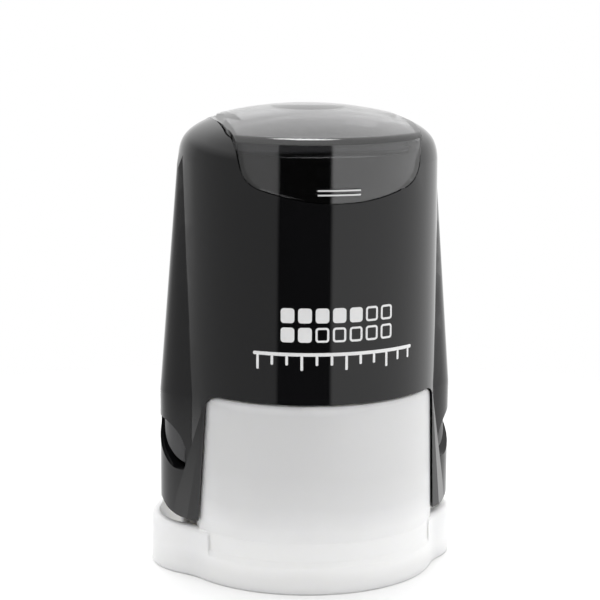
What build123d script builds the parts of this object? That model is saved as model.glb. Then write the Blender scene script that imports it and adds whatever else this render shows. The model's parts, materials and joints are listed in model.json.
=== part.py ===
from build123d import *
import os
from math import pi, sin, cos, radians, sqrt, degrees, atan2

# Self-inking round date stamp, shown closed: pressed down and standing in its protective cap.
# Millimetres, +Z up, front towards -Y, origin at the centre of the cap's underside.
# The stamp's own dimensions are given from a datum that stands stamp_z above the cap's underside.

# ---------------------------------------------------------------- driving dimensions
stamp_z = 1.35          # height of the stamp's datum above the cap's underside
foot_z = 8.0            # plane on which the stamp's own foot stands when it prints
pivot_d = 12.5          # flip axis above the printing face
stroke = 24.0           # travel of the handle
pivot_z = foot_z + pivot_d
die_r = 15.0            # 30 mm round impression

# outer handle shell
shell_bottom = 8.4
core_r0, core_z0 = 21.60, 8.0      # front and back face radius, low
core_r1, core_z1 = 21.10, 64.0     # front and back face radius, high
lobe_x = 17.5                      # centre of the side pilasters
lobe_r0 = 6.90                     # pilaster radius up to lobe_zk
lobe_zk = 28.5
lobe_r1, lobe_z1 = 4.10, 64.5      # pilaster radius near the shoulder
wall = 1.5
top_z = 75.0
dome_rx, dome_ry = 60.0, 59.0      # curvature of the top, across and fore-and-aft
notch_top = 29.75                  # lower edge of the shell between the arms
notch_x29 = 18.7                   # half width of the notch at z 29.3
notch_taper = 0.0443
ceiling_z0, ceiling_z1 = 67.2, 68.4

# protective cap, dimensioned from its own underside
cap_r = 25.6                       # rear and sides of the foot
cap_front_r = 21.45                # front bulge of the foot
cap_corner = (20.3, -7.0)          # where the bulge meets the side rims
cap_rim_z = 8.35
cap_rim_t = 1.25
cap_floor1 = 1.6
cap_skirt_z0, cap_skirt_z1 = 4.2, 5.4
cap_wall_top = 30.75
cap_wall_r0, cap_wall_r1 = 21.25, 20.95   # outside radius of the tall walls, low and high
cap_wall_t = 1.25
cap_ledge = foot_z + stamp_z - 0.2

# frame
side_x0, side_x1 = 15.9, 17.5      # side plates
side_y = 7.5
ring_ro, ring_ri, ring_top = 19.4, 18.3, 13.3
frame_top0, frame_top1 = 62.8, 63.9
pin_d = 3.5
slot_w = 4.3
crank_e = 5.0                      # cam pin beside the flip axis
cam_d = 2.4

# pad
pad_face = 59.5
pad_top = 61.6

# date unit
axle_z = 27.0
axle_d = 2.0
wheel_r = 5.2
band_t = 0.8
nose_r = 2.0
nose_z = foot_z + band_t + nose_r
# name, centre x, width of the band
bands = [("day_tens", -8.15, 3.4), ("day_units", -3.95, 3.4), ("month", 1.95, 5.6), ("year", 8.05, 4.4)]

os.makedirs("parts", exist_ok=True)


def out(name, shape):
    s = shape
    if isinstance(s, (list, tuple)):
        s = Compound(children=list(s))
    if name != "protective_cap":
        s = Pos(0, 0, stamp_z) * s
    s.label = name
    export_step(s, "parts/" + name + ".step")


def cyl(r, z0, z1, x=0.0, y=0.0):
    return Pos(x, y, z0) * Cylinder(r, z1 - z0, align=(Align.CENTER, Align.CENTER, Align.MIN))


def cone(r0, r1, z0, z1, x=0.0, y=0.0):
    if abs(r0 - r1) < 1e-6:
        return cyl(r0, z0, z1, x, y)
    return Pos(x, y, z0) * Cone(r0, r1, z1 - z0, align=(Align.CENTER, Align.CENTER, Align.MIN))


def box(x0, x1, y0, y1, z0, z1):
    return Pos((x0 + x1) / 2, (y0 + y1) / 2, (z0 + z1) / 2) * Box(x1 - x0, y1 - y0, z1 - z0)


def xcyl(r, x0, x1, y, z):
    return Pos(x0, y, z) * Rot(0, 90, 0) * Cylinder(r, x1 - x0, align=(Align.CENTER, Align.CENTER, Align.MIN))


def prism_xz(pts, y0, y1):
    # closed polygon in X,Z pushed from y0 to y1
    f = Plane.XZ * make_face(Polyline(*pts, close=True))
    return Pos(0, y1, 0) * extrude(f, y1 - y0)


def prism_yz(pts, x0, x1):
    f = Plane.YZ * make_face(Polyline(*pts, close=True))
    return Pos(x0, 0, 0) * extrude(f, x1 - x0)


def mirror_x(s):
    return mirror(s, Plane.YZ)


def mirror_y(s):
    return mirror(s, Plane.XZ)


def poly_solid(verts, faces):
    fs = [Face(Wire.make_polygon([Vector(*verts[i]) for i in f], close=True)) for f in faces]
    return Solid(Shell(fs))


def core_r(z):
    return core_r0 + (core_r1 - core_r0) * (z - core_z0) / (core_z1 - core_z0)


def lobe_r(z):
    if z <= lobe_zk:
        return lobe_r0
    return lobe_r0 + (lobe_r1 - lobe_r0) * (z - lobe_zk) / (lobe_z1 - lobe_zk)


def dome(off=0.0):
    # double-curved top surface, everything below it
    h = top_z - off
    ry = dome_ry - off
    ye = 27.0
    ze = h - (ry - sqrt(ry * ry - ye * ye))
    arc = ThreePointArc((-ye, ze), (0, h), (ye, ze))
    f = Plane.YZ * make_face(arc + Polyline((ye, ze), (ye, 40), (-ye, 40), (-ye, ze)))
    cz = top_z - dome_rx
    ax = Axis((0, 0, cz), (0, 1, 0))
    s = revolve(f, axis=ax, revolution_arc=84)
    return s.rotate(ax, -42)


def above_dome(off=0.0):
    # what the top surface trims away
    return box(-29, 29, -26, 26, 60, 90) - dome(off)


def shoulder(pts, z0=4.0):
    prof = Spline(*[(r, z) for r, z in pts])
    last = pts[-1]
    f = Plane.XZ * make_face(prof + Polyline(last, (0, last[1] + 1.0), (0, z0), (27, z0), (27, 20), pts[0]))
    return revolve(f, axis=Axis.Z)


def core(off=0.0, z0=core_z0, z1=78.0):
    return cone(core_r(z0) - off, core_r(z1) - off, z0, z1)


def lobes(off=0.0, z0=core_z0, z1=70.0):
    a = cone(lobe_r(z0) - off, lobe_r(lobe_zk) - off, z0, lobe_zk, lobe_x) + \
        cone(lobe_r(lobe_zk) - off, lobe_r(z1) - off, lobe_zk, z1, lobe_x)
    return a + mirror_x(a)


# ---------------------------------------------------------------- outer housing
sh_core = [(21.25, 61.5), (21.12, 65.5), (20.9, 67.8), (20.2, 69.6), (19.0, 70.85), (17.3, 71.9), (14.8, 72.95)]
sh_lobe = [(22.6, 56.0), (21.95, 62.0), (21.35, 65.9), (20.65, 68.1), (19.4, 70.0), (17.3, 71.75), (14.9, 72.75)]
body = core() & shoulder(sh_core)
pil = lobes() & shoulder(sh_lobe)
# flat facets beside the notch, which close the angle between face and pilaster towards the arm's end
xq = notch_x29 + notch_taper * (29.3 - shell_bottom) + 0.15
yq = sqrt(core_r(shell_bottom) ** 2 - xq * xq)
xt = notch_x29 + 0.15
yt = sqrt(core_r(notch_top) ** 2 - xt * xt)
yb, yc2 = 7.0, 3.5
wb = (21.4, -yb)
wc = (lobe_x + sqrt(lobe_r0 ** 2 - yc2 ** 2) - 0.02, -yc2)
tet = poly_solid([(xq - 0.02, -yq, shell_bottom), (wb[0], wb[1], shell_bottom), (wc[0], wc[1], shell_bottom),
                  (19.4, -3.9, shell_bottom), (xt - 0.05, -yt + 0.02, notch_top - 0.4)],
                 [(0, 1, 2, 3), (0, 4, 1), (1, 4, 2), (2, 4, 3), (3, 4, 0)])
wedges = tet + mirror_x(tet)
wedges = wedges + mirror_y(wedges)
outer = (body + pil + wedges) - above_dome()
outer = outer & box(-30, 30, -30, 30, shell_bottom, 80)
# each arm's outer bottom edge is rounded up
arm_x = lobe_x + lobe_r0
arm_round = 2.6
corner = box(arm_x - arm_round, arm_x + 1, -12, 12, shell_bottom - 1, shell_bottom + arm_round)
corner = corner - Pos(arm_x - arm_round, 0, shell_bottom + arm_round) * Rot(90, 0, 0) * Cylinder(arm_round, 30)
outer = outer - corner - mirror_x(corner)

# notch front and back: everything between the arms below its edge
def notch(extra, ztop, r):
    x_t = notch_x29 + notch_taper * (29.3 - ztop) + extra
    x_b = notch_x29 + notch_taper * 29.3 + extra
    p = prism_xz([(-x_t, ztop), (x_t, ztop), (x_b, 0), (-x_b, 0)], -30, 30)
    es = [e for e in p.edges().filter_by(Axis.Y) if e.center().Z > ztop - 0.5]
    return fillet(es, r)

inner_core = cone(core_r(0) - wall, core_r(ceiling_z0) - wall, 0.0, ceiling_z0)
inner_lobe = lobes(wall, 0.0, 63.5)
housing = outer - inner_core - inner_lobe - notch(0.15, notch_top, 2.0)

# index window seat: top deck and the recess of the front flap
deck_x = 15.6
deck_plan = RectangleRounded(2 * deck_x, 2 * 15.2, 6.0)
deck_prism = Pos(0, 0, ceiling_z1) * extrude(deck_plan, 10)
front_open = box(-deck_x, deck_x, -30, -4, ceiling_z1, 80)
def flap_outline(g):
    # outline of the window's front flap, pulled in by g
    side = [(10.9, 63.02), (12.25, 63.5), (13.4, 64.35), (14.15, 65.5), (14.6, 67.2), (14.9, 69.4), (15.2, 71.2), (deck_x, 72.8)]
    side = [(x - g, z + (g if x < 12 else g * 0.5 if x < 14 else 0)) for x, z in side]
    rt = Spline(*side)
    lf = Spline(*[(-x, z) for x, z in side])
    top = Polyline(side[-1], (side[-1][0], 78), (-side[-1][0], 78), (-side[-1][0], side[-1][1]))
    bot = ThreePointArc(side[0], (0, 61.35 + g), (-side[0][0], side[0][1]))
    return Plane.XZ * make_face(rt + top + lf + bot)


flap_face = flap_outline(0.0)
flap_prism = Pos(0, -6, 0) * extrude(flap_face, 24)
flap_t = 1.3
seat_gap = 0.12
seat_core = cone(core_r(50) - flap_t - seat_gap, core_r(78) - flap_t - seat_gap, 50, 78)
recess = (flap_prism - seat_core) + (deck_prism)
front_deck = flap_prism & box(-30, 30, -30, 0, ceiling_z1, 80)
housing = housing - recess - front_deck

# lock button openings, a slanted leaf shape in each arm's side
lock_pts = [(-5.35, 16.25), (-4.2, 16.4), (-2.35, 17.65), (-0.3, 19.3), (1.6, 21.05), (2.7, 22.7), (2.5, 23.9), (1.2, 24.25),
            (-0.9, 24.2), (-2.7, 23.95), (-4.2, 23.1), (-5.3, 21.5), (-5.75, 19.2), (-5.75, 17.2)]


def lock_shape(grow, x0, x1):
    n = len(lock_pts)
    pts = []
    for i, (y, z) in enumerate(lock_pts):
        a = lock_pts[i - 1]
        b = lock_pts[(i + 1) % n]
        ty, tz = b[0] - a[0], b[1] - a[1]
        L = sqrt(ty * ty + tz * tz)
        pts.append((y + tz / L * grow, z - ty / L * grow))
    f = make_face(Spline(*pts, periodic=True))
    return Pos(x0, 0, 0) * extrude(Plane.YZ * f, x1 - x0)


lock_cut = lock_shape(0, 19.0, 27.0)
housing = housing - lock_cut - mirror_x(lock_cut)
out("outer_housing", housing)

# ---------------------------------------------------------------- lock buttons
face_cyl = cyl(lobe_r0 - 0.75, 8, 30, lobe_x) + (box(19, 21.35, -6.2, 0, 8, 30))  # pressed-in face follows the arm
shifted = Pos(0, -0.55, 0.75) * lock_shape(-0.22, 19.6, 26.0)
btn = lock_shape(-0.22, 20.0, 26.0) & shifted & face_cyl
flange = lock_shape(0.5, 20.35, 26.0) & cyl(lobe_r0 - wall - 0.95, 8, 30, lobe_x)
lock = btn + flange
lock = lock & box(20.0, 27, -9, 9, 8, 30)
out("lock_button_right", lock)
out("lock_button_left", mirror_x(lock))

# ---------------------------------------------------------------- index window and card
win_core = core(0.06, 50.0, 78.0)
win_outer = win_core - above_dome(0.02)
crease = [e for e in win_outer.edges() if e.center().Z > 66 and e.length > 60]
try:
    win_outer = fillet(crease, 1.5)
except Exception:
    print("window crease left sharp")
# the deck's long edges are rounded over towards the shoulders
er = [(11.6, 74.4), (13.2, 73.65), (14.5, 73.05), (deck_x + 0.3, 72.3)]
edge_round = Plane.XZ * make_face(Spline(*er) + Polyline(er[-1], (er[-1][0] + 4, er[-1][1] - 2), (22, 80), (11.6, 80), er[0]))
edge_round = Pos(0, 26, 0) * extrude(edge_round, 52)
win_outer = win_outer - edge_round - mirror_x(edge_round)
rear_trim = box(-26, 26, 0, 26, 60, 90) - shoulder([(r, z + 0.03) for r, z in sh_core]) - cyl(14.85, 50, 95)
win_outer = win_outer - rear_trim
gap = 0.15
zone_f = Pos(0, -6, 0) * extrude(flap_outline(gap), 24)
deck_i = Pos(0, 0, ceiling_z1 + 0.05) * extrude(RectangleRounded(2 * (deck_x - gap), 2 * (15.2 - gap), 6.0 - gap), 10)
win_inner = core(flap_t + 0.02, 50.0, 78.0) - above_dome(1.3)
side_hollow = box(-deck_x + 1.5, deck_x - 1.5, -30, 13.7, 60, 72.0) + box(-deck_x + 3.4, deck_x - 3.4, -30, 13.7, 60, 73.4)
window = (win_outer & (zone_f + deck_i)) - (win_inner & side_hollow)
window = window - (core(flap_t + 0.02, 50.0, 78.0) & box(-30, 30, -30, 30, 55, ceiling_z1 + 0.05))
bars = box(-3.5, 3.5, -21.8, -18.5, 0, 0.38)
tabs = (Pos(0, 0, 62.6) * bars) + (Pos(0, 0, 63.3) * bars)
tabs = (tabs & core(-0.32, 50, 78)) - core(0.3, 50, 78)
window = window + tabs
out("index_window", window)
card = Pos(0, -1.2, ceiling_z1 + 0.12) * extrude(RectangleRounded(27.4, 26.0, 4.5), 0.3)
out("index_card", card)

# ---------------------------------------------------------------- drive yoke under the ceiling
leg = box(17.8, 18.9, -3.0, 3.0, pivot_z - 3.6, 67.0)
yoke = (box(-19.0, 19.0, -6.0, 6.0, 65.8, 67.1) & cyl(18.8, 60, 70)) + box(-18.9, 18.9, -3.0, 3.0, 65.8, 67.1) + leg + mirror_x(leg)
boss = xcyl(3.6, 17.8, 18.9, 0, pivot_z)
yoke = yoke + boss + mirror_x(boss)
hole = xcyl(pin_d / 2 + 0.06, 17.0, 20.0, 0, pivot_z)
yoke = yoke - hole - mirror_x(hole)
spring_seat = cyl(4.0, 65.0, 65.8) - cyl(3.0, 64.9, 66.0)
out("drive_yoke", yoke)

# ---------------------------------------------------------------- return spring, conical, nearly flat when pressed
# closed coils nest inside each other; wire 0.8
spring_wire = 0.8
coils = []
for i, r in enumerate([5.2, 6.8, 8.4, 10.0, 11.6, 13.2]):
    z = 65.25 - i * 0.15
    coils.append(Pos(0, 0, z) * Torus(r, spring_wire / 2))
sp = coils[0]
for i in range(1, len(coils)):
    sp = sp + coils[i]
for i in range(5):
    r0 = 5.2 + 1.6 * i
    ang = 60 * i
    link = Rot(0, 0, ang) * (Pos(r0 - 0.1, 0, 65.25 - (i + 0.5) * 0.15) * Rot(0, 90, 0) * Cylinder(spring_wire * 0.36, 1.9, align=(Align.CENTER, Align.CENTER, Align.MIN)))
    sp = sp + link
out("return_spring", sp)

# ---------------------------------------------------------------- base frame
ring = cyl(ring_ro, foot_z, ring_top) - cyl(ring_ri, foot_z - 1, ring_top + 1)
web = box(15.9, 18.2, -side_y, side_y, foot_z, foot_z + 2.0)
plate = box(side_x0, side_x1, -side_y, side_y, foot_z, frame_top1)
frame = ring + web + mirror_x(web) + plate + mirror_x(plate)
frame = frame + cyl(17.2, frame_top0, frame_top1)
frame = frame + (box(-side_x1, side_x1, -side_y, side_y, frame_top0, frame_top1))
# upright slot for the flip pin
def vslot(x0, x1, w, za, zb):
    return box(x0, x1, -w / 2, w / 2, za, zb) + xcyl(w / 2, x0, x1, 0, za) + xcyl(w / 2, x0, x1, 0, zb)
vs = vslot(15.0, 18.5, slot_w, pivot_z - 0.3, pivot_z + stroke + 0.3)
# cam groove on the inner face, the path of the crank pin
groove = None
n = 40
gw = cam_d / 2 + 0.4
pts = []
for i in range(-1, n + 2):
    th = pi * min(max(i, 0), n) / n
    y = crank_e * cos(th)
    z = pivot_z + stroke * th / pi + crank_e * sin(th)
    pts.append((y, z))
pts = pts[1:-1]
left = []
right = []
for i, (y, z) in enumerate(pts):
    a = pts[max(i - 1, 0)]
    b = pts[min(i + 1, len(pts) - 1)]
    ty, tz = b[0] - a[0], b[1] - a[1]
    L = sqrt(ty * ty + tz * tz)
    left.append((y - tz / L * gw, z + ty / L * gw))
    right.append((y + tz / L * gw, z - ty / L * gw))
loop = Spline(*left) + Line(left[-1], right[-1]) + Spline(*reversed(right)) + Line(right[0], left[0])
gf = Plane.YZ * make_face(loop)
groove = Pos(15.5, 0, 0) * extrude(gf, 1.4)
groove = groove + xcyl(gw, 15.5, 16.9, pts[0][0], pts[0][1]) + xcyl(gw, 15.5, 16.9, pts[-1][0], pts[-1][1])
rail = box(15.5, 16.85, -20, 20, 61.05, 62.35)
cuts = vs + groove + rail
frame = frame - cuts - mirror_x(cuts)
seat = cyl(15.2, 63.8, 64.35) - cyl(14.4, 63.0, 65.0)
frame = frame + seat
out("base_frame", frame)

# ---------------------------------------------------------------- ink pad
tray = cyl(15.6, 59.8, 62.6)
tray = tray + (box(-16.6, 16.6, -7.2, 7.2, 61.2, 62.2))
tray = tray - cyl(14.95, 59.0, pad_top)
grip = box(-5, 5, -17.0, -15.0, 60.4, 62.6) & cyl(17.0, 60, 63)
tray = tray + grip
out("ink_pad_tray", tray)
date_cut = RectangleRounded(23.4, 7.4, 1.2)
pad = cyl(14.85, pad_face, pad_top - 0.02) - Pos(0, 0, 59) * extrude(date_cut, 4)
out("ink_pad_text", pad)
pad2 = Pos(0, 0, pad_face) * extrude(RectangleRounded(22.8, 6.8, 1.0), pad_top - 0.02 - pad_face)
out("ink_pad_date", pad2)

# ---------------------------------------------------------------- print block
win_b = Pos(0, 0, 5) * extrude(RectangleRounded(22.9, 7.0, 1.0), 20)
carrier = cyl(15.25, foot_z + 3.1, foot_z + 4.5) - win_b
cheek_f = prism_yz([(-5.4, foot_z + 4.4), (5.4, foot_z + 4.4), (4.6, 26.5), (3.2, 29.9), (-3.2, 29.9), (-4.6, 26.5)], 11.75, 13.05)
carrier = carrier + cheek_f + mirror_x(cheek_f)
for s in (-1, 1):
    bar = box(-12.5, 12.5, 4.9, 6.3, foot_z + 4.4, foot_z + 7.2)
    carrier = carrier + (bar if s > 0 else mirror_y(bar))
ph = xcyl(pin_d / 2, 11.0, 14.0, 0, pivot_z)
ah = xcyl(axle_d / 2, 11.0, 14.0, 0, axle_z)
nh = box(11.0, 13.2, -1.25, 1.25, nose_z + 1.0, nose_z + 4.0)
carrier = carrier - ph - ah - mirror_x(ph + ah)
out("block_carrier", carrier)
mount = cyl(15.3, foot_z + 2.0, foot_z + 3.1) - win_b
clip = box(-2.6, 2.6, -15.5, -14.6, foot_z + 3.1, foot_z + 5.0) & cyl(15.5, 5, 20)
clip = clip - cyl(15.25, foot_z + 3.0, foot_z + 4.5)
out("text_plate_mount", mount)
# rubber text plate: 1.1 sheet with a raised rim, an inner ring and short bars where text would be
date_win = Pos(0, 0, 5) * extrude(RectangleRounded(22.4, 6.6, 0.8), 20)
rub = cyl(die_r, foot_z + 0.9, foot_z + 2.0)
rub = rub + (cyl(die_r, foot_z, foot_z + 0.9) - cyl(die_r - 0.6, foot_z - 1, foot_z + 0.9))
rub = rub + (cyl(10.3, foot_z, foot_z + 0.9) - cyl(9.9, foot_z - 1, foot_z + 0.9)) - Pos(0, 0, 0) * box(-11.6, 11.6, -3.9, 3.9, foot_z - 1, foot_z + 0.9)
for k in range(22):
    a = 360 / 22 * k
    b = Rot(0, 0, a) * box(-0.9, 0.9, -13.6, -11.3, foot_z, foot_z + 0.95)
    rub = rub + b
for yy in (5.6, 7.4, -5.6, -7.4):
    hw = 6.2 if abs(yy) < 6 else 4.6
    rub = rub + box(-hw, hw, yy - 0.35, yy + 0.35, foot_z, foot_z + 0.95)
rub = rub - date_win
out("text_plate", rub)

# flip pins and cranks
pin = xcyl(pin_d / 2, 11.75, 18.8, 0, pivot_z)
pin_l = mirror_x(pin)
crank = xcyl(3.4, 13.1, 14.7, 0, pivot_z) + box(13.1, 14.7, 0, crank_e, pivot_z - 2.0, pivot_z + 2.0) + xcyl(2.0, 13.1, 14.7, crank_e, pivot_z)
crank = crank + xcyl(cam_d / 2, 14.7, 16.6, crank_e, pivot_z)
crank = crank - xcyl(pin_d / 2, 13.0, 15.0, 0, pivot_z)
out("flip_pin_right", pin)
out("flip_pin_left", pin_l)
out("flip_crank_right", crank)
out("flip_crank_left", mirror_x(crank))

# ---------------------------------------------------------------- date unit
nose_len = 22.0
nose = xcyl(nose_r - 0.05, -nose_len / 2, nose_len / 2, 0, nose_z) + box(-nose_len / 2, nose_len / 2, -1.6, 1.6, nose_z, nose_z + 5.0)
nose = nose + box(-11.75, -11.0, -1.2, 1.2, nose_z + 1.9, nose_z + 4.0) + box(11.0, 11.75, -1.2, 1.2, nose_z + 1.9, nose_z + 4.0)
out("band_nose", nose)
axle = xcyl(axle_d / 2 - 0.0, -13.05, 13.05, 0, axle_z)
out("wheel_axle", axle)


def belt(off):
    # outline round the nose and the wheel
    r1, z1 = nose_r + off, nose_z
    r2, z2 = wheel_r + off, axle_z
    D = z2 - z1
    s = (r2 - r1) / D
    c = sqrt(1 - s * s)
    a = (r1 * c, z1 - r1 * s)
    b = (r2 * c, z2 - r2 * s)
    w = Line(a, b) + ThreePointArc(b, (0, z2 + r2), (-b[0], b[1])) + Line((-b[0], b[1]), (-a[0], a[1])) + \
        ThreePointArc((-a[0], a[1]), (0, z1 - r1), a)
    return Plane.YZ * make_face(w)


for name, xc, w in bands:
    bw = w - 0.5
    loop = extrude(belt(band_t), bw) - extrude(belt(0.05), bw)
    loop = Pos(xc - bw / 2, 0, 0) * loop
    out("date_band_" + name, loop)
    # wheel: drum under the band and a thumb flange with teeth each side of it
    drum = xcyl(wheel_r - 0.3, xc - w / 2, xc + w / 2, 0, axle_z)
    fl_w = 0.62
    f1 = xcyl(6.3, xc + w / 2 - 0.05, xc + w / 2 + fl_w, 0, axle_z)
    teeth = None
    nt = 18
    wh = drum + f1
    for k in range(nt):
        a = 2 * pi * k / nt
        wh = wh - xcyl(0.55, xc + w / 2 - 0.2, xc + w / 2 + fl_w + 0.2, 6.55 * cos(a), axle_z + 6.55 * sin(a))
    wh = wh - xcyl(axle_d / 2 + 0.06, xc - w, xc + w, 0, axle_z)
    out("date_wheel_" + name, wh)

# ---------------------------------------------------------------- protective cap
# plan of the foot: front bulge, side rims that start at its corners, full circle behind
cx_, cy_ = cap_corner


def cap_plan(g):
    # outline pulled in by g
    fr = cap_front_r - g
    rr = cap_r - g
    c = (cx_ - 0.25 * g, cy_ + 0.8 * g)
    k = fr / sqrt(c[0] ** 2 + c[1] ** 2)
    c = (c[0] * k, c[1] * k)
    e = (sqrt(rr * rr - 16.0), 4.0)
    rt = TangentArc(e, c, tangent=(4.0 / rr, -e[0] / rr))
    lf = TangentArc((-e[0], e[1]), (-c[0], c[1]), tangent=(-4.0 / rr, -e[0] / rr))
    rear = ThreePointArc(e, (0, rr), (-e[0], e[1]))
    fa = ThreePointArc((-c[0], c[1]), (0, -fr), c)
    return make_face(rt + rear + lf + fa)


blend_r = 12.0                     # the side rims run into the front bulge in a wide curve
rim_body = extrude(cap_plan(0.0), cap_rim_z)
rim_body = fillet([e for e in rim_body.edges().filter_by(Axis.Z) if e.center().Y < -5], blend_r)
rim_body = chamfer([e for e in rim_body.edges() if abs(e.center().Z) < 1e-6], 0.25)
rim_top = [e for e in rim_body.edges() if abs(e.center().Z - cap_rim_z) < 1e-6]
try:
    rim_body = fillet(rim_top, 0.75)
except Exception:
    print("rim fillet replaced by a chamfer")
    rim_body = chamfer(rim_top, 0.4)
rim_hollow = extrude(cap_plan(cap_rim_t), 10)
rim_hollow = fillet([e for e in rim_hollow.edges().filter_by(Axis.Z) if e.center().Y < -5], blend_r + cap_rim_t)
rim_hollow = Pos(0, 0, cap_floor1) * rim_hollow
# tall walls front and back, nearly upright
x_t = notch_x29 + notch_taper * (29.3 - (cap_wall_top - stamp_z)) - 0.15
x_b = notch_x29 + notch_taper * (29.3 + stamp_z) - 0.15
zone = prism_xz([(-x_t, cap_wall_top), (x_t, cap_wall_top), (x_b, 0), (-x_b, 0)], -30, 30)
es = [e for e in zone.edges().filter_by(Axis.Y) if e.center().Z > cap_wall_top - 0.5]
zone = fillet(es, 1.8)
wall_out = cone(cap_wall_r0, cap_wall_r1, 1.0, cap_wall_top)
wall_in = cone(cap_wall_r0 - cap_wall_t, cap_wall_r1 - cap_wall_t, 1.0, cap_wall_top + 0.01)
walls = (wall_out & zone) - wall_in - box(-30, 30, -6.0, 6.0, 0, 40)
# low front skirt: the bulge steps back to the wall above it
step = cyl(24, cap_skirt_z0, 12) - cone(cap_front_r + 0.05, cap_wall_r0, cap_skirt_z0, cap_skirt_z1) - cyl(cap_wall_r0 - 0.01, cap_skirt_z1, 13)
step = step & box(-18.5, 18.5, -30, -6.0, 0, 20)
skirt = (cyl(cap_front_r - 0.1, 0.5, cap_rim_z) & box(-19.6, 19.6, -30, -6.0, 0, 20)) - cyl(cap_wall_r0 - cap_wall_t, 0, 20)
cap = (rim_body - rim_hollow) + walls + skirt
cap = cap - step
ledge = (cyl(20.3, cap_floor1 - 0.4, cap_ledge) - cyl(18.2, 0.9, 12)) - box(-30, 30, -8.5, 8.5, 0, 12)
cap = cap + ledge
for xr in (-14.3, -8.4, -2.8, 2.8, 8.4, 14.3):
    a = degrees(atan2(xr, sqrt(20.2 ** 2 - xr * xr)))
    rb = Rot(0, 0, a) * box(-0.5, 0.5, -20.35, -19.6, 23.0, cap_wall_top + 0.32)
    cap = cap + rb + mirror_y(rb)
out("protective_cap", cap)
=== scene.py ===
import bpy, bmesh, math, json
import numpy as np
from mathutils import Vector, Matrix


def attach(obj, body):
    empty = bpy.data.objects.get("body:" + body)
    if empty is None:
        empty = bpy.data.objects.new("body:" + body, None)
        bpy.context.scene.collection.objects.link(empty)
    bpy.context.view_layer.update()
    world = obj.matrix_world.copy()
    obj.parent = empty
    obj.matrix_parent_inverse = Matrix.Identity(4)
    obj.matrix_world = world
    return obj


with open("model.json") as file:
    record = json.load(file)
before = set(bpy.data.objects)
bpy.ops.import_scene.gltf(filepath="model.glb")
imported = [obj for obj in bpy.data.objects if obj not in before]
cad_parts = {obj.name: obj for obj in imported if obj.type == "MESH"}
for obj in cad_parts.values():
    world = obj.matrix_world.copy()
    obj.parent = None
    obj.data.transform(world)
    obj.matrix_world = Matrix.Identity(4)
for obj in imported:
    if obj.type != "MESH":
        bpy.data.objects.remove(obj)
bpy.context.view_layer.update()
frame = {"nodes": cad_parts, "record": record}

MM = 0.001
N = frame["nodes"]
scene = bpy.context.scene
scene.view_settings.view_transform = "Standard"
scene.view_settings.look = "None"
scene.view_settings.exposure = 0.0
scene.view_settings.gamma = 1.0

# ------------------------------------------------------------------ materials


def new_mat(name):
    m = bpy.data.materials.new(name)
    m.use_nodes = True
    nt = m.node_tree
    nt.nodes.clear()
    o = nt.nodes.new("ShaderNodeOutputMaterial")
    b = nt.nodes.new("ShaderNodeBsdfPrincipled")
    nt.links.new(b.outputs[0], o.inputs["Surface"])
    return m, nt, b


def node(nt, kind, **kw):
    n = nt.nodes.new(kind)
    for k, v in kw.items():
        if hasattr(n, k):
            setattr(n, k, v)
        else:
            n.inputs[k].default_value = v
    return n


def noise(nt, scale, detail=3.0, rough=0.5, stretch=None):
    tc = nt.nodes.new("ShaderNodeTexCoord")
    mp = nt.nodes.new("ShaderNodeMapping")
    if stretch:
        mp.inputs["Scale"].default_value = stretch
    nt.links.new(tc.outputs["Object"], mp.inputs["Vector"])
    n = nt.nodes.new("ShaderNodeTexNoise")
    n.inputs["Scale"].default_value = scale
    n.inputs["Detail"].default_value = detail
    n.inputs["Roughness"].default_value = rough
    nt.links.new(mp.outputs[0], n.inputs["Vector"])
    return n


def ramp(nt, src, stops):
    r = nt.nodes.new("ShaderNodeValToRGB")
    e = r.color_ramp.elements
    e[0].position, e[0].color = stops[0][0], stops[0][1]
    e[1].position, e[1].color = stops[-1][0], stops[-1][1]
    for p, c in stops[1:-1]:
        x = e.new(p)
        x.color = c
    nt.links.new(src, r.inputs[0])
    return r


def col(*c):
    return (*c, 1.0) if len(c) == 3 else (c[0], c[0], c[0], 1.0)


def bump(nt, src, b, strength, dist):
    bp = nt.nodes.new("ShaderNodeBump")
    bp.inputs["Strength"].default_value = strength
    bp.inputs["Distance"].default_value = dist
    nt.links.new(src, bp.inputs["Height"])
    nt.links.new(bp.outputs[0], b.inputs["Normal"])
    return bp


def plastic(name, base, rough, var=0.04, bump_scale=900.0, bump_s=0.05, bump_d=0.00004, coat=0.0, rough_var=0.03, ior=1.5):
    m, nt, b = new_mat(name)
    b.inputs["IOR"].default_value = ior
    n1 = noise(nt, 55.0, 4.0)
    lo = [max(0, c * (1 - var)) for c in base]
    hi = [min(1, c * (1 + var)) for c in base]
    r = ramp(nt, n1.outputs["Fac"], [(0.3, col(*lo)), (0.7, col(*hi))])
    nt.links.new(r.outputs[0], b.inputs["Base Color"])
    n2 = noise(nt, 240.0, 5.0)
    rr = ramp(nt, n2.outputs["Fac"], [(0.25, col(max(0, rough - rough_var))), (0.75, col(min(1, rough + rough_var)))])
    nt.links.new(rr.outputs[0], b.inputs["Roughness"])
    n3 = noise(nt, bump_scale, 6.0)
    bump(nt, n3.outputs["Fac"], b, bump_s, bump_d)
    if coat:
        b.inputs["Coat Weight"].default_value = coat
        b.inputs["Coat Roughness"].default_value = 0.03
    return m


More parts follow.
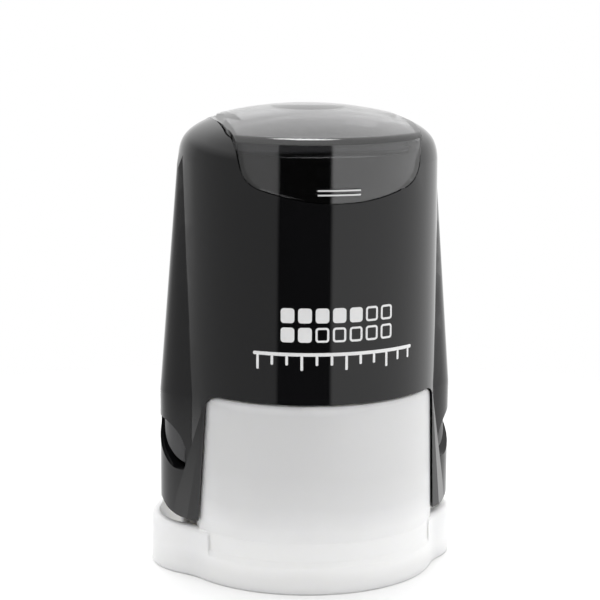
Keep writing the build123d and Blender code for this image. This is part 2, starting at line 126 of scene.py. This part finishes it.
MAT = {}
MAT["gloss_black"] = plastic("gloss_black", (0.0045, 0.0045, 0.005), 0.035, 0.1, 700, 0.02, 0.00001, rough_var=0.012)
MAT["satin_black"] = plastic("satin_black", (0.045, 0.045, 0.047), 0.38, 0.08, 2600, 0.25, 0.00003)
MAT["matte_black"] = plastic("matte_black", (0.022, 0.022, 0.024), 0.5, 0.1, 2200, 0.35, 0.00004)
MAT["tray_plastic"] = plastic("tray_plastic", (0.035, 0.035, 0.04), 0.48, 0.1, 2200, 0.3, 0.00004)
MAT["grey_plastic"] = plastic("grey_plastic", (0.38, 0.39, 0.40), 0.42, 0.05, 1800, 0.2, 0.00003)
MAT["mount_plastic"] = plastic("mount_plastic", (0.66, 0.66, 0.63), 0.4, 0.04, 1800, 0.2, 0.00003)
MAT["wheel_plastic"] = plastic("wheel_plastic", (0.75, 0.73, 0.66), 0.3, 0.04, 1500, 0.15, 0.00003)
MAT["plate_rubber"] = plastic("plate_rubber", (0.30, 0.035, 0.03), 0.72, 0.12, 3000, 0.5, 0.00005)
MAT["band_rubber"] = plastic("band_rubber", (0.45, 0.13, 0.07), 0.68, 0.1, 3000, 0.5, 0.00005)
MAT["card"] = plastic("card", (0.10, 0.10, 0.105), 0.7, 0.06, 2500, 0.3, 0.00003)


def steel(name):
    m, nt, b = new_mat(name)
    b.inputs["Metallic"].default_value = 1.0
    n1 = noise(nt, 300.0, 4.0, stretch=(6, 1, 1))
    r = ramp(nt, n1.outputs["Fac"], [(0.3, col(0.50, 0.50, 0.51)), (0.7, col(0.68, 0.68, 0.69))])
    nt.links.new(r.outputs[0], b.inputs["Base Color"])
    rr = ramp(nt, n1.outputs["Fac"], [(0.3, col(0.2)), (0.7, col(0.34))])
    nt.links.new(rr.outputs[0], b.inputs["Roughness"])
    bump(nt, n1.outputs["Fac"], b, 0.15, 0.00002)
    return m


MAT["spring_steel"] = steel("spring_steel")
MAT["pin_steel"] = steel("pin_steel")


def felt(name, base):
    m, nt, b = new_mat(name)
    n1 = noise(nt, 1400.0, 8.0, 0.7)
    r = ramp(nt, n1.outputs["Fac"], [(0.3, col(*[c * 0.55 for c in base])), (0.7, col(*[min(1, c * 1.35) for c in base]))])
    nt.links.new(r.outputs[0], b.inputs["Base Color"])
    rr = ramp(nt, n1.outputs["Fac"], [(0.3, col(0.75)), (0.7, col(0.95))])
    nt.links.new(rr.outputs[0], b.inputs["Roughness"])
    b.inputs["Sheen Weight"].default_value = 0.25
    b.inputs["Sheen Roughness"].default_value = 0.5
    bump(nt, n1.outputs["Fac"], b, 0.8, 0.0002)
    return m


MAT["ink_felt_blue"] = felt("ink_felt_blue", (0.02, 0.04, 0.22))
MAT["ink_felt_red"] = felt("ink_felt_red", (0.32, 0.02, 0.025))


def milky():
    m, nt, b = new_mat("milky_plastic")
    n1 = noise(nt, 60.0, 4.0)
    # painted shade and light by height: base colour darker on the upper walls where the dark inside would show
    # through the thin wall, lighter on the foot flare and the top edge where the light falls
    tc_ = nt.nodes.new("ShaderNodeTexCoord")
    sp_ = nt.nodes.new("ShaderNodeSeparateXYZ")
    nt.links.new(tc_.outputs["Object"], sp_.inputs[0])
    wav = nt.nodes.new("ShaderNodeMath")
    wav.operation = "MULTIPLY_ADD"
    nt.links.new(n1.outputs["Fac"], wav.inputs[0])
    wav.inputs[1].default_value = 0.004
    nt.links.new(sp_.outputs["Z"], wav.inputs[2])
    height_shade_range = nt.nodes.new("ShaderNodeMapRange")
    height_shade_range.inputs["From Min"].default_value = 0.0
    height_shade_range.inputs["From Max"].default_value = 0.034
    nt.links.new(wav.outputs[0], height_shade_range.inputs["Value"])
    # painted light and shade: lighter foot and flare, darker upper walls, lighter top edge
    r = ramp(nt, height_shade_range.outputs[0], [(0.12, col(0.83, 0.83, 0.825)), (0.17, col(0.88, 0.88, 0.875)), (0.36, col(0.86, 0.86, 0.855)), (0.47, col(0.75, 0.75, 0.75)),
                                 (0.62, col(0.71, 0.71, 0.71)), (0.93, col(0.73, 0.73, 0.73)), (0.96, col(0.84, 0.84, 0.84))])
    nt.links.new(r.outputs[0], b.inputs["Base Color"])
    n2 = noise(nt, 300.0, 5.0)
    rr = ramp(nt, n2.outputs["Fac"], [(0.3, col(0.30)), (0.7, col(0.40))])
    nt.links.new(rr.outputs[0], b.inputs["Roughness"])
    b.inputs["Subsurface Weight"].default_value = 1.0
    b.inputs["Subsurface Radius"].default_value = (1.0, 1.0, 0.95)
    b.inputs["Subsurface Scale"].default_value = 0.0022
    b.inputs["IOR"].default_value = 1.49
    bump(nt, noise(nt, 1200.0, 4.0).outputs["Fac"], b, 0.06, 0.00003)
    return m


MAT["milky_plastic"] = milky()


def smoked():
    m, nt, b = new_mat("smoked_clear")
    n1 = noise(nt, 80.0, 3.0)
    r = ramp(nt, n1.outputs["Fac"], [(0.3, col(0.42, 0.42, 0.425)), (0.7, col(0.50, 0.50, 0.505))])
    nt.links.new(r.outputs[0], b.inputs["Base Color"])
    b.inputs["Transmission Weight"].default_value = 1.0
    b.inputs["IOR"].default_value = 1.8
    n2 = noise(nt, 240.0, 4.0)
    rr = ramp(nt, n2.outputs["Fac"], [(0.3, col(0.02)), (0.7, col(0.045))])
    nt.links.new(rr.outputs[0], b.inputs["Roughness"])
    return m


MAT["smoked_clear"] = smoked()

SLOT = {s["node"]: s["material_slot"] for s in frame["record"]["subparts"]}
for name, o in N.items():
    o.data.materials.clear()
    o.data.materials.append(MAT[SLOT[name]])


# ------------------------------------------------------------------ printed marks on the front
ZD = 0.00135                      # the stamp's datum


def core_radius(z):
    z = (z - ZD) / MM
    return (21.60 + (21.10 - 21.60) * (z - 8.0) / 56.0) * MM


def flat_poly(bm, pts):
    bm.faces.new([bm.verts.new((x, z, 0)) for x, z in pts])


def rrect(cx, cz, w, h, r, n=6):
    pts = []
    for sx_, sz_, a0 in ((1, 1, 0), (-1, 1, 90), (-1, -1, 180), (1, -1, 270)):
        for i in range(n + 1):
            t = math.radians(a0 + 90 * i / n)
            pts.append((cx + sx_ * (w / 2 - r) + r * math.cos(t), cz + sz_ * (h / 2 - r) + r * math.sin(t)))
    return pts


def ring_strip(bm, outer, inner):
    n = len(outer)
    vo = [bm.verts.new((x, z, 0)) for x, z in outer]
    vi = [bm.verts.new((x, z, 0)) for x, z in inner]
    for i in range(n):
        j = (i + 1) % n
        bm.faces.new([vo[i], vo[j], vi[j], vi[i]])


def wrap(bm, name, mat, body, lift=0.00002, thick=0.00003, step=0.0006):
    # slice the flat artwork into narrow strips, wrap it round the front face and give it a little thickness
    xs = [v.co.x for v in bm.verts]
    x = min(xs) + step
    while x < max(xs):
        geom = list(bm.verts) + list(bm.edges) + list(bm.faces)
        bmesh.ops.bisect_plane(bm, geom=geom, plane_co=(x, 0, 0), plane_no=(1, 0, 0))
        x += step
    bmesh.ops.triangulate(bm, faces=[f for f in bm.faces if len(f.verts) > 4])
    base = list(bm.faces)
    res = bmesh.ops.extrude_face_region(bm, geom=base)
    top = {v for v in res["geom"] if isinstance(v, bmesh.types.BMVert)}
    for v in bm.verts:
        r = core_radius(v.co.y) + lift + (thick if v in top else 0.0)
        t = v.co.x / core_radius(v.co.y)
        v.co = Vector((r * math.sin(t), -r * math.cos(t), v.co.y))
    bmesh.ops.recalc_face_normals(bm, faces=bm.faces)
    me = bpy.data.meshes.new(name)
    bm.to_mesh(me)
    bm.free()
    for p in me.polygons:
        p.use_smooth = False
    o = bpy.data.objects.new(name, me)
    me.materials.append(MAT[mat])
    scene.collection.objects.link(o)
    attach(o, body)
    return o


MAT["print_white"] = plastic("print_white", (0.86, 0.86, 0.86), 0.45, 0.03, 2400, 0.15, 0.00001)
bm = bmesh.new()
# a calendar pictogram: two weeks of day squares, some filled and some outlined, over a thin rule
cols, pitch, sq = 7, 2.72, 2.15
filled = {(0, 0), (1, 0), (2, 0), (3, 0), (0, 1), (1, 1), (4, 0)}
for i in range(cols):
    for j in range(2):
        cx_ = (0.25 + (i - 3) * pitch) * MM
        cz_ = (45.35 - j * 3.05) * MM
        o_ = rrect(cx_, cz_, sq * MM, 2.35 * MM, 0.5 * MM)
        if (i, j) in filled:
            flat_poly(bm, o_)
        else:
            ring_strip(bm, o_, rrect(cx_, cz_, (sq - 0.66) * MM, (2.35 - 0.66) * MM, 0.22 * MM))
flat_poly(bm, rrect(0.25 * MM, 39.2 * MM, 27.5 * MM, 0.55 * MM, 0.25 * MM))
for i in range(12):
    x_ = (0.25 + (i - 5.5) * 2.36) * MM
    h_ = (1.5 if i % 3 else 2.3)
    flat_poly(bm, rrect(x_, (38.95 - h_ / 2) * MM, 0.42 * MM, h_ * MM, 0.18 * MM))
wrap(bm, "front_print", "print_white", "handle")

# ------------------------------------------------------------------ painted highlights: light grey bars for the bright reflections along the two ribs on the flap
# painted highlight: the bars' light grey colour stands in for the reflections on the clear ribs
MAT["rib_painted_highlight"] = plastic("rib_painted_highlight", (0.80, 0.80, 0.80), 0.22, 0.03, 1800, 0.1, 0.00001)


def arc_bar(bm, x0, x1, z, h, r0, r1, n=14):
    # a bar that follows the front face, rounded by a bevel later
    rows = []
    for i in range(n + 1):
        x = x0 + (x1 - x0) * i / n
        ring = []
        for r, zz in ((r0, z - h / 2), (r1, z - h / 2), (r1, z + h / 2), (r0, z + h / 2)):
            t = x / r1
            ring.append(bm.verts.new((r * math.sin(t), -r * math.cos(t), zz)))
        rows.append(ring)
    for a_, b_ in zip(rows[:-1], rows[1:]):
        for k in range(4):
            bm.faces.new([a_[k], a_[(k + 1) % 4], b_[(k + 1) % 4], b_[k]])
    bm.faces.new(rows[0])
    bm.faces.new(list(reversed(rows[-1])))


bm = bmesh.new()
for zc in (62.6 + 0.19 + 1.35, 63.3 + 0.19 + 1.35):
    rr_ = core_radius(zc * MM) / MM + 0.32
    arc_bar(bm, -3.45 * MM, 3.45 * MM, (zc + 0.02) * MM, 0.26 * MM, (rr_ - 0.08) * MM, (rr_ + 0.012) * MM)
bmesh.ops.recalc_face_normals(bm, faces=bm.faces)
me = bpy.data.meshes.new("flap_rib_painted_highlights")
bm.to_mesh(me)
bm.free()
ribs = bpy.data.objects.new("flap_rib_painted_highlights", me)
me.materials.append(MAT["rib_painted_highlight"])
scene.collection.objects.link(ribs)
bv = ribs.modifiers.new("round", "BEVEL")
bv.width = 0.00004
bv.segments = 2
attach(ribs, "window")

# ------------------------------------------------------------------ stage, light, camera
floor_m, nt, b = new_mat("stage_white")
b.inputs["Base Color"].default_value = (0.93, 0.93, 0.93, 1)
b.inputs["Roughness"].default_value = 0.95
b.inputs["Specular IOR Level"].default_value = 0.1
ftc = nt.nodes.new("ShaderNodeTexCoord")
fl = nt.nodes.new("ShaderNodeVectorMath")
fl.operation = "LENGTH"
nt.links.new(ftc.outputs["Object"], fl.inputs[0])
fr = ramp(nt, fl.outputs["Value"], [(0.05, col(1.0)), (0.155, col(0.0))])
nt.links.new(fr.outputs[0], b.inputs["Alpha"])
me = bpy.data.meshes.new("stage_floor")
bm = bmesh.new()
R = 0.16
vs = [bm.verts.new((R * math.cos(a), R * math.sin(a), 0)) for a in [2 * math.pi * i / 64 for i in range(64)]]
bm.faces.new(vs)
bm.to_mesh(me)
bm.free()
floor = bpy.data.objects.new("stage_floor", me)
me.materials.append(floor_m)
scene.collection.objects.link(floor)

w = bpy.data.worlds.new("studio")
scene.world = w
w.use_nodes = True
wt = w.node_tree
wt.nodes.clear()
wo = wt.nodes.new("ShaderNodeOutputWorld")
bg_env = wt.nodes.new("ShaderNodeBackground")
bg_cam = wt.nodes.new("ShaderNodeBackground")
mix = wt.nodes.new("ShaderNodeMixShader")
lp = wt.nodes.new("ShaderNodeLightPath")
wt.links.new(lp.outputs["Is Camera Ray"], mix.inputs[0])
wt.links.new(bg_env.outputs[0], mix.inputs[1])
wt.links.new(bg_cam.outputs[0], mix.inputs[2])
wt.links.new(mix.outputs[0], wo.inputs[0])
bg_cam.inputs[0].default_value = (1, 1, 1, 1)
bg_cam.inputs[1].default_value = 1.0
# soft boxes: a bright wall to the right, a dimmer one to the left, a narrow dark gap in front, light overhead
tc = wt.nodes.new("ShaderNodeTexCoord")
mp = wt.nodes.new("ShaderNodeMapping")
mp.vector_type = "POINT"
mp.inputs["Rotation"].default_value = (0, 0, math.radians(90 + 13.35))
wt.links.new(tc.outputs["Generated"], mp.inputs["Vector"])
sx = wt.nodes.new("ShaderNodeSeparateXYZ")
wt.links.new(mp.outputs[0], sx.inputs[0])
at = wt.nodes.new("ShaderNodeMath")
at.operation = "ARCTAN2"
wt.links.new(sx.outputs["Y"], at.inputs[0])
wt.links.new(sx.outputs["X"], at.inputs[1])
mr = wt.nodes.new("ShaderNodeMapRange")
mr.inputs["From Min"].default_value = -math.pi
mr.inputs["From Max"].default_value = math.pi
wt.links.new(at.outputs[0], mr.inputs["Value"])


def P(deg):
    return 0.5 + deg / 360.0


az_r = ramp(wt, mr.outputs[0], [(P(-180), col(1.0)), (P(-150), col(0.85)), (P(-118), col(0.50)), (P(-27), col(0.50)),
                               (P(-24), col(0.015)), (P(20), col(0.015)), (P(23), col(1.0)), (P(120), col(1.05)), (P(180), col(1.0))])
el_r = ramp(wt, sx.outputs["Z"], [(0.22, col(0.0)), (0.5, col(1.0))])
mixc = wt.nodes.new("ShaderNodeMix")
mixc.data_type = "RGBA"
wt.links.new(el_r.outputs[0], mixc.inputs["Factor"])
wt.links.new(az_r.outputs[0], mixc.inputs["A"])
mixc.inputs["B"].default_value = (1.15, 1.15, 1.15, 1)
# a small strong light high above and a little behind
dotv = wt.nodes.new("ShaderNodeVectorMath")
dotv.operation = "DOT_PRODUCT"
wt.links.new(tc.outputs["Generated"], dotv.inputs[0])
hx, hy, hz = 0.03, 0.22, 0.97
hn = math.sqrt(hx * hx + hy * hy + hz * hz)
dotv.inputs[1].default_value = (hx / hn, hy / hn, hz / hn)
key_r = ramp(wt, dotv.outputs["Value"], [(0.972, col(0.0)), (0.990, col(1.0))])
keym = wt.nodes.new("ShaderNodeMix")
keym.data_type = "RGBA"
wt.links.new(key_r.outputs[0], keym.inputs["Factor"])
wt.links.new(mixc.outputs["Result"], keym.inputs["A"])
keym.inputs["B"].default_value = (10.0, 10.0, 10.0, 1)
wt.links.new(keym.outputs["Result"], bg_env.inputs[0])
bg_env.inputs[1].default_value = 1.0

AZ, EL, ROLL, DIST, FPX, CX, CY = -13.35, 11.52, 0.49, 0.350, 2113.64, 306.33, 338.04
TARGET = Vector((0, 0, 0.03753))
a, e = math.radians(-AZ), math.radians(EL)
d = Vector((-math.sin(a) * math.cos(e), -math.cos(a) * math.cos(e), math.sin(e)))
cam_data = bpy.data.cameras.new("camera")
cam = bpy.data.objects.new("camera", cam_data)
scene.collection.objects.link(cam)
cam_data.sensor_width = 36.0
cam_data.lens = 36.0 * FPX / 600.0
cam_data.shift_x = -(CX - 300.0) / 600.0
cam_data.shift_y = (CY - 300.0) / 600.0
cam_data.clip_start = 0.01
cam_data.clip_end = 20
cam.location = TARGET + d * DIST
fwd = -d
right = Vector((math.cos(a), -math.sin(a), 0))
up = right.cross(fwd)
rot = Matrix((right, up, -fwd)).transposed()
cam.rotation_euler = (rot @ Matrix.Rotation(math.radians(ROLL), 3, "Z")).to_euler()
scene.camera = cam
